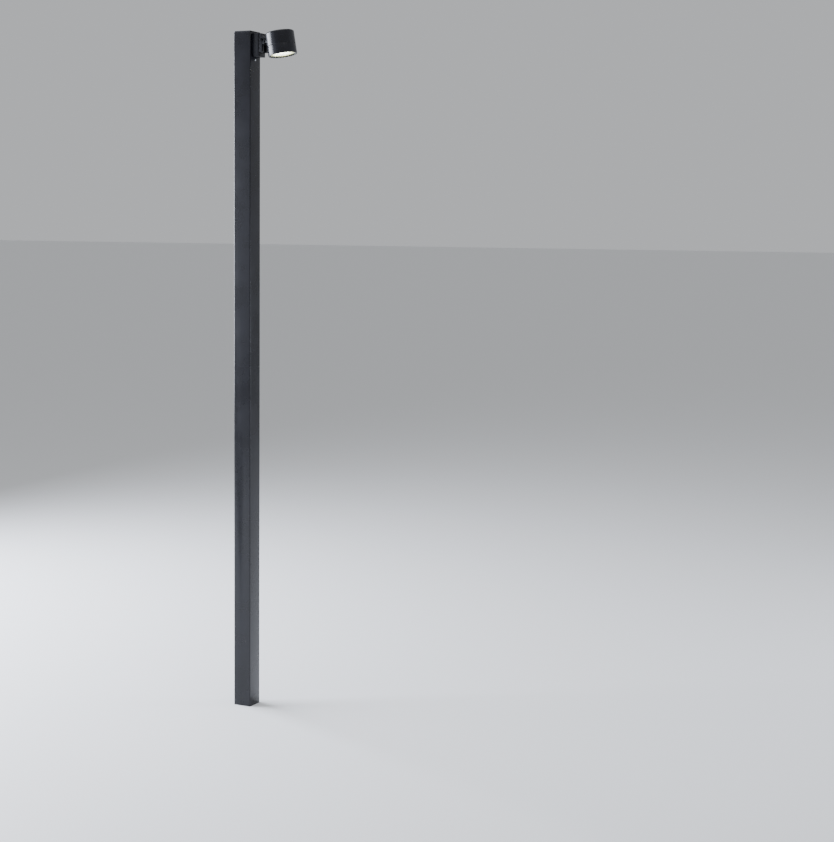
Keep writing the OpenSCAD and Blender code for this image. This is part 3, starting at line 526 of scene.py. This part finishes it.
# %% [markdown]
# ## Post
#
# The post is one length of square steel tube. Its rounded corners are what you see first:
# each shows a bright line the whole way up. The bar starts as a cube, its four long edges
# are bevelled to the tube's 3 mm radius, its ends are deleted and Solidify gives the open
# skin its wall. The door opening is cut by a rounded bar, because a Boolean leaves the
# exact outline that the door's hairline gap depends on. A small hole at the foot drains the
# tube.

# %% Post tube
TUBE_EDGE = 3 * MM
TUBE_WALL = 3.5 * MM
UPRIGHT = 2

low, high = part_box("post_tube")
post = block(low, high)
round_edges_along(post, UPRIGHT, TUBE_EDGE, segments=8)
only(post)
bpy.ops.object.mode_set(mode="EDIT")
bpy.ops.mesh.select_mode(type="FACE")
select_faces(post, lambda face: abs(face.normal.z) > 0.9)
bpy.ops.mesh.delete(type="FACE")
bpy.ops.object.mode_set(mode="OBJECT")
wall = post.modifiers.new("wall", "SOLIDIFY")
wall.thickness = TUBE_WALL
wall.offset = -1
wall.use_even_offset = True
apply_modifiers(post)
print("tube:", [round(c, 3) for c in post.dimensions])

# %% Door opening
DOOR_CORNER = 5.2 * MM
DOOR_GAP = 0.8 * MM
THROUGH_WALL = 0

door_low, door_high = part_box("service_door")
opening = block(
    (door_low.x - 20 * MM, door_low.y - DOOR_GAP, door_low.z - DOOR_GAP),
    (door_high.x + 6 * MM, door_high.y + DOOR_GAP, door_high.z + DOOR_GAP))
round_edges_along(opening, THROUGH_WALL, DOOR_CORNER + DOOR_GAP, segments=6)
cut(post, opening)
round_edges(post, 0.4 * MM, segments=2, angle=60)
print("door opening:", round(door_high.z - door_low.z + 2 * DOOR_GAP, 3), "high")

# %% Drain hole
WEEP_RADIUS = 2 * MM
WEEP_HEIGHT = 14 * MM
bpy.ops.mesh.primitive_cylinder_add(vertices=24, radius=WEEP_RADIUS, depth=20 * MM,
                                    location=(0, low.y, WEEP_HEIGHT), rotation=(math.pi / 2, 0, 0))
cut(post, bpy.context.object)
finish_piece(post, "post_shell", "post", graphite_coat, "graphite_powder_coat", "post_tube")

# %% [markdown]
# ## Cap and door leaf
#
# The cap is a flat plate with a plug below it. Its top edge is broken by a small radius,
# which is the pale line across the post's top. The door leaf is a plate that lies flush in
# its opening, and the same small radius on its edge makes the gap read as a dark line with
# a bright rim.

# %% Cap
PLUG_INSET = 4 * MM
PLUG_WALL = 4 * MM

low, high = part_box("top_cap")
gasket_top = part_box("cap_gasket")[1].z
cap = block((low.x, low.y, gasket_top), high)
round_edges_along(cap, UPRIGHT, TUBE_EDGE, segments=8)
round_edges(cap, 0.8 * MM, segments=3, angle=60)
plug = block((low.x + PLUG_INSET, low.y + PLUG_INSET, low.z),
             (high.x - PLUG_INSET, high.y - PLUG_INSET, gasket_top))
only(plug)
bpy.ops.object.mode_set(mode="EDIT")
bpy.ops.mesh.select_mode(type="FACE")
select_faces(plug, lambda face: face.normal.z < -0.9)
bpy.ops.mesh.inset(thickness=PLUG_WALL)
bpy.ops.mesh.extrude_region_move(TRANSFORM_OT_translate={"value": (0, 0, gasket_top - low.z - MM)})
bpy.ops.object.mode_set(mode="OBJECT")
only(cap)
plug.select_set(True)
bpy.ops.object.join()
finish_piece(cap, "cap_plate", "post", graphite_coat, "graphite_powder_coat", "top_cap")

# %% Door leaf
leaf = block(door_low, door_high)
round_edges_along(leaf, THROUGH_WALL, DOOR_CORNER, segments=6)
round_edges(leaf, 0.5 * MM, segments=3, angle=60)
finish_piece(leaf, "door_leaf", "door", graphite_coat, "graphite_powder_coat", "service_door")

# %% [markdown]
# ## Bracket box and knuckle
#
# The bracket box and the knuckle are die castings. Their shapes are already right in the
# frame, down to the bolt recess, so the way to a finished piece is short: a copy is merged
# into whole faces, and every sharp edge gets the 0.8 mm radius that a casting die needs
# anyway. A modelled copy is used and not the node itself, because the frame stays as it is.

# %% Castings with rounded edges
CAST_EDGE = 0.8 * MM
LUG_EDGE = 0.5 * MM

for node, name, body, edge_radius in (
        ("mounting_box", "bracket_casting", "post", CAST_EDGE),
        ("knuckle_block", "knuckle_casting", "arm", CAST_EDGE),
        ("head_lug", "lug_casting", "head", LUG_EDGE)):
    casting = merged_copy(node)
    round_edges(casting, edge_radius, segments=3, angle=40)
    finish_piece(casting, name, body, graphite_coat, "graphite_powder_coat", node)

# %% [markdown]
# ## Lamp head
#
# The head is two turned castings that meet in a narrow joint: the housing above and the
# front ring below. Each is an outline spun about the head's axis. The outline is drawn as
# the turner would: down the outside, round each edge, across the joint face and back up
# the bore. The top edge has a 5 mm radius, and the edges at the joint only 0.4 mm, so the
# joint stays a crisp shadow line.

# %% Housing
low_h, high_h = along_head("head_housing")
outside = round_head("head_housing")[1]
TOP_EDGE = 5 * MM
HEAD_WALL = 4 * MM
HEAD_ROOF = 5 * MM
JOINT_EDGE = 0.4 * MM
SPIGOT_WALL = 1.9 * MM
SPIGOT_DEPTH = 7 * MM
inner = outside - HEAD_WALL
roof = high_h - HEAD_ROOF
housing_line = (
    [(0, high_h)]
    + arc((outside - TOP_EDGE, high_h - TOP_EDGE), TOP_EDGE, 90, 0, 10)
    + arc((outside - JOINT_EDGE, low_h + JOINT_EDGE), JOINT_EDGE, 0, -90, 3)
    + [(outside - SPIGOT_WALL, low_h), (outside - SPIGOT_WALL, low_h + SPIGOT_DEPTH),
       (inner, low_h + SPIGOT_DEPTH + 0.6 * MM), (inner, roof), (0, roof)])
housing = turned(housing_line, steps=128)
settle(housing, head_place)
finish_piece(housing, "head_barrel", "head", graphite_coat, "graphite_powder_coat", "head_housing")

# %% Front ring
low_r, high_r = along_head("front_ring")
lip_bore, ring_outside = round_head("front_ring")
shoulder = low_h - 1.2 * MM
RIM_EDGE = 0.7 * MM
RING_STEP = 2 * MM
SEAT_GAP = 0.5 * MM
glass_low, glass_high = along_head("front_glass")
glass_radius = round_head("front_glass")[1]
bore_radius = glass_radius + 0.2 * MM
ring_line = (
    arc((ring_outside - RIM_EDGE, low_r + RIM_EDGE), RIM_EDGE, -90, 0, 4)
    + arc((ring_outside - JOINT_EDGE, shoulder - JOINT_EDGE), JOINT_EDGE, 0, 90, 3)
    + [(ring_outside - RING_STEP, shoulder), (ring_outside - RING_STEP, high_r),
       (bore_radius, high_r), (bore_radius, glass_low - SEAT_GAP), (lip_bore, glass_low - SEAT_GAP)]
    + arc((lip_bore + RIM_EDGE, low_r + RIM_EDGE), RIM_EDGE, 180, 270, 4))
front = turned(ring_line + ring_line[:1], steps=128)
settle(front, head_place)
finish_piece(front, "front_bezel", "head", graphite_coat, "graphite_powder_coat", "front_ring")

# %% [markdown]
# ## Glass and diffuser
#
# The glass has ground edges, a 0.5 mm chamfer all round. The diffuser's face is moulded
# with fine concentric prisms, which is why the light at its edge breaks into rings when you
# look closely. They are part of the spun outline, 2.5 mm apart.

# %% Front glass
GROUND_EDGE = 0.5 * MM
pane_line = [
    (0, glass_low), (glass_radius - GROUND_EDGE, glass_low),
    (glass_radius, glass_low + GROUND_EDGE), (glass_radius, glass_high - GROUND_EDGE),
    (glass_radius - GROUND_EDGE, glass_high), (0, glass_high)]
pane = turned(pane_line, steps=96)
settle(pane, head_place)
finish_piece(pane, "glass_pane", "head", front_pane, "clear_glass", "front_glass")

# %% Opal diffuser with prisms
PRISM_PITCH = 2.5 * MM
PRISM_DEPTH = 0.6 * MM
low_d, high_d = along_head("diffuser")
disc_radius = round_head("diffuser")[1]
prisms = int((disc_radius - 4 * MM) / PRISM_PITCH)
disc_line = [(0, low_d + PRISM_DEPTH)]
for i in range(1, prisms + 1):
    disc_line += [(i * PRISM_PITCH, low_d), (i * PRISM_PITCH + 0.1 * MM, low_d + PRISM_DEPTH)]
disc_line += [(disc_radius, low_d + PRISM_DEPTH), (disc_radius, high_d), (0, high_d)]
disc = turned(disc_line, steps=96)
settle(disc, head_place)
finish_piece(disc, "opal_disc", "head", lit_opal, "lit_opal_acrylic", "diffuser", smooth=20)

# %% [markdown]
# ## Screws
#
# Every screw is a button head with a hexagon socket: a domed cap, a socket for the key and
# a plain shank. One is modelled per size and copied to its places, each copy with its own
# mesh. The dome and shank are spun in one go, and a six-sided cutter makes the socket.

# %% Screw maker
def button_screw(head_radius, head_height, shank_radius, shank_length):
    """A button-head screw along +Z, with the underside of its head at the origin."""
    socket = shank_radius * 0.62
    dome = arc((0, 0), 1.0, 90, 12, 8)
    flat = socket * 1.35
    line = [(0, head_height), (flat, head_height)]
    line += [(flat + (head_radius - flat) * x, head_height * y) for x, y in dome[1:]]
    line += [(head_radius, 0), (shank_radius, 0), (shank_radius, -shank_length), (0, -shank_length)]
    piece = turned(line, steps=36)
    bpy.ops.mesh.primitive_cylinder_add(vertices=6, radius=socket, depth=head_height * 1.4,
                                        location=(0, 0, head_height * 1.1))
    cut(piece, bpy.context.object)
    return piece


def placed_copies(pattern, places, name, body, material, slot_name, node):
    """Copies of a screw, each with its own mesh, joined into one named piece."""
    copies = []
    for place in places:
        one = pattern.copy()
        one.data = pattern.data.copy()
        bpy.context.scene.collection.objects.link(one)
        one.matrix_world = place
        settle(one)
        copies.append(one)
    bpy.data.objects.remove(pattern)
    only(copies[0])
    for one in copies[1:]:
        one.select_set(True)
    bpy.ops.object.join()
    return finish_piece(copies[0], name, body, material, slot_name, node, smooth=30)


def facing(place, direction):
    """The matrix that stands a +Z piece at a place, pointing in a direction."""
    turn = Vector((0, 0, 1)).rotation_difference(Vector(direction)).to_matrix().to_4x4()
    return Matrix.Translation(Vector(place)) @ turn


# %% Foot screws
M8_HEAD = 6.5 * MM
M8_HEIGHT = 3 * MM

low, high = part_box("foot_screws")
post_low, post_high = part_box("post_tube")
lower, upper = low.z + M8_HEAD, high.z - M8_HEAD
foot_places = [facing((post_low.x, 0, z), (-1, 0, 0)) for z in (lower, upper)]
foot_places += [facing((0, post_high.y, z), (0, 1, 0)) for z in (lower, upper)]
placed_copies(button_screw(M8_HEAD, M8_HEIGHT, 4 * MM, 11.5 * MM), foot_places,
              "foot_screw_set", "post", graphite_coat, "graphite_powder_coat", "foot_screws")

# %% Cap and clamp screws
M5_HEAD = 4.5 * MM
M5_HEIGHT = 2.4 * MM

low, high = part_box("m5_screws")
m5_places = [
    facing((post_low.x, 0, high.z - M5_HEAD), (-1, 0, 0)),
    facing((0, post_high.y, high.z - M5_HEAD), (0, 1, 0)),
    facing((post_high.x, 0, low.z + M5_HEAD), (1, 0, 0))]
placed_copies(button_screw(M5_HEAD, M5_HEIGHT, 2.5 * MM, 12 * MM), m5_places,
              "small_screw_set", "post", stainless, "stainless_steel", "m5_screws")

# %% Door screws
M6_HEAD = 5 * MM
M6_HEIGHT = 3 * MM

low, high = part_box("door_screws")
door_places = [facing((post_low.x, 0, z), (-1, 0, 0))
               for z in (low.z + M6_HEAD, high.z - M6_HEAD)]
placed_copies(button_screw(M6_HEAD, M6_HEIGHT, 3 * MM, 8.5 * MM), door_places,
              "door_screw_set", "door", stainless, "stainless_steel", "door_screws")

# %% Vent plug
low_v, high_v = along_head("vent_plug")
vent_middle = middle("vent_plug")
vent_height = (low_v + high_v) / 2
outward = (vent_middle - lens_middle) + head_down * vent_height
outward.normalize()
vent_seat = lens_middle - head_down * vent_height + outward * outside
placed_copies(button_screw(6 * MM, 2.5 * MM, 3 * MM, 5.5 * MM), [facing(vent_seat, outward)],
              "vent_cap", "head", black_nylon, "black_polyamide", "vent_plug")

# %% [markdown]
# ## Lead from the knuckle to the head
#
# A short rubber lead leaves the hollow swivel stud, hangs in a slack bow under the tilt
# bolt and enters the head through its gland. When the head tilts, the real lead bends, but
# here it rides on no body and keeps its shape. It is drawn as a Bezier curve with a round
# bevel, and turned into a mesh.

# %% Flexible lead
LEAD_RADIUS = 3 * MM
stud_low, stud_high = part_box("stud_lead")
lead_low, lead_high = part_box("head_lead")
stud_mid = middle("stud_lead")
head_mid = middle("head_lead")
head_out = Vector((math.cos(head_tilt), 0, math.sin(head_tilt)))
lead_half = (lead_high.x - lead_low.x) / 2 / math.cos(head_tilt)
start = Vector((stud_low.x, 0, stud_mid.z))
leaving = Vector((stud_high.x, 0, stud_mid.z))
arriving = head_mid - head_out * (lead_half - LEAD_RADIUS)
end = head_mid + head_out * (lead_half - LEAD_RADIUS)

bpy.ops.curve.primitive_bezier_curve_add(location=(0, 0, 0))
lead = bpy.context.object
spline = lead.data.splines[0]
spline.bezier_points.add(2)
slack = (arriving - leaving).length * 0.45
along = Vector((1, 0, 0))
stations = [(start, along, 8 * MM), (leaving, along, slack),
            (arriving, head_out, slack), (end, head_out, 6 * MM)]
for point, (spot, direction, handle) in zip(spline.bezier_points, stations):
    point.handle_left_type = point.handle_right_type = "FREE"
    point.co = spot
    point.handle_left = spot - direction * handle
    point.handle_right = spot + direction * handle
lead.data.dimensions = "3D"
lead.data.bevel_depth = LEAD_RADIUS
lead.data.bevel_resolution = 5
lead.data.resolution_u = 16
lead.data.use_fill_caps = True
only(lead)
bpy.ops.object.convert(target="MESH")
lead = bpy.context.object
settle(lead)
finish_piece(lead, "lamp_lead", None, cable_sheath, "black_pvc_cable", "stud_lead", "head_lead")
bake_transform(lead)

# %% [markdown]
# ## Finishes for the pieces that stay
#
# The pieces inside the post and the head are shown only when the door is off or the lamp is
# taken apart. Their frame shapes are right, so each just gets its finish. The phosphor lies
# behind the diffuser and shares the ivory of the plastics.

# %% Finishes by slot
finish_of_slot = {
    "graphite_powder_coat": graphite_coat,
    "black_epdm": epdm,
    "galvanised_steel": zinc,
    "stainless_steel": stainless,
    "blackened_steel": black_steel,
    "grey_polycarbonate": grey_case,
    "ivory_polyamide": ivory_nylon,
    "black_polyamide": black_nylon,
    "black_pvc_cable": cable_sheath,
    "brass": brass,
    "tan_ptfe": friction_disc,
    "bare_aluminium": bare_aluminium,
    "white_circuit_board": board_mask,
    "yellow_phosphor": ivory_nylon,
    "lit_opal_acrylic": lit_opal,
    "clear_glass": front_pane,
}
slot_of_node = {row["node"]: row["material_slot"] for row in frame["record"]["subparts"]}
for node, carried in frame["nodes"].items():
    carried.data.materials.clear()
    carried.data.materials.append(finish_of_slot[slot_of_node[node]])
print("finished nodes:", len(slot_of_node))

# %% [markdown]
# ## Studio
#
# A dark object is lit by what it mirrors. A wide soft box stands well out to the left. It
# shows on the head's left flank as a broad white band and draws the fine line on the post's
# left edge. Weaker ones beside the camera and low on the right give each side of the post its
# own even sheen, so the corner between them stays sharp. A pale floor and a pale surround
# keep the outline clear. The lamp's own glow comes from its diffuser.

# %% Floor and lights
FLOOR_SIZE = 400

bpy.ops.mesh.primitive_plane_add(size=FLOOR_SIZE, location=(0, 0, 0))
floor = bpy.context.object
floor.name = "studio_floor"
floor_paint = new_material("pale studio floor", Roughness=0.6, Base_Color=linear("e6e7e8"))[0]
floor.data.materials.append(floor_paint)


def soft_box(name, place, aim, size, power, tint):
    """A rectangular area light that points at a place."""
    bpy.ops.object.light_add(type="AREA", location=place)
    light = bpy.context.object
    light.name = name
    light.data.shape = "RECTANGLE"
    light.data.size, light.data.size_y = size
    light.data.energy = power
    light.data.color = linear(tint)[:3]
    direction = Vector(aim) - Vector(place)
    light.rotation_euler = direction.to_track_quat("-Z", "Y").to_euler()
    return light


soft_box("flank_soft_box", (-3.8, -0.4, 2.1), (0, 0, 1.9), (4.4, 2.6), 980, "eef3ff")
soft_box("left_soft_box", (-2.4, -4.6, 2.2), (0, 0, 1.3), (1.0, 3.2), 12, "e6ecff")
soft_box("right_soft_box", (4.6, 2.6, 1.3), (0, 0, 1.0), (1.4, 2.0), 110, "eaf0ff")
soft_box("top_soft_box", (0.5, -1.0, 5.4), (0, 0, 1.0), (4.0, 4.0), 110, "ffffff")

world = bpy.data.worlds.new("studio surround")
bpy.context.scene.world = world
world.use_nodes = True
world.node_tree.nodes["Background"].inputs["Color"].default_value = linear("dfe1e4")
world.node_tree.nodes["Background"].inputs["Strength"].default_value = 0.7
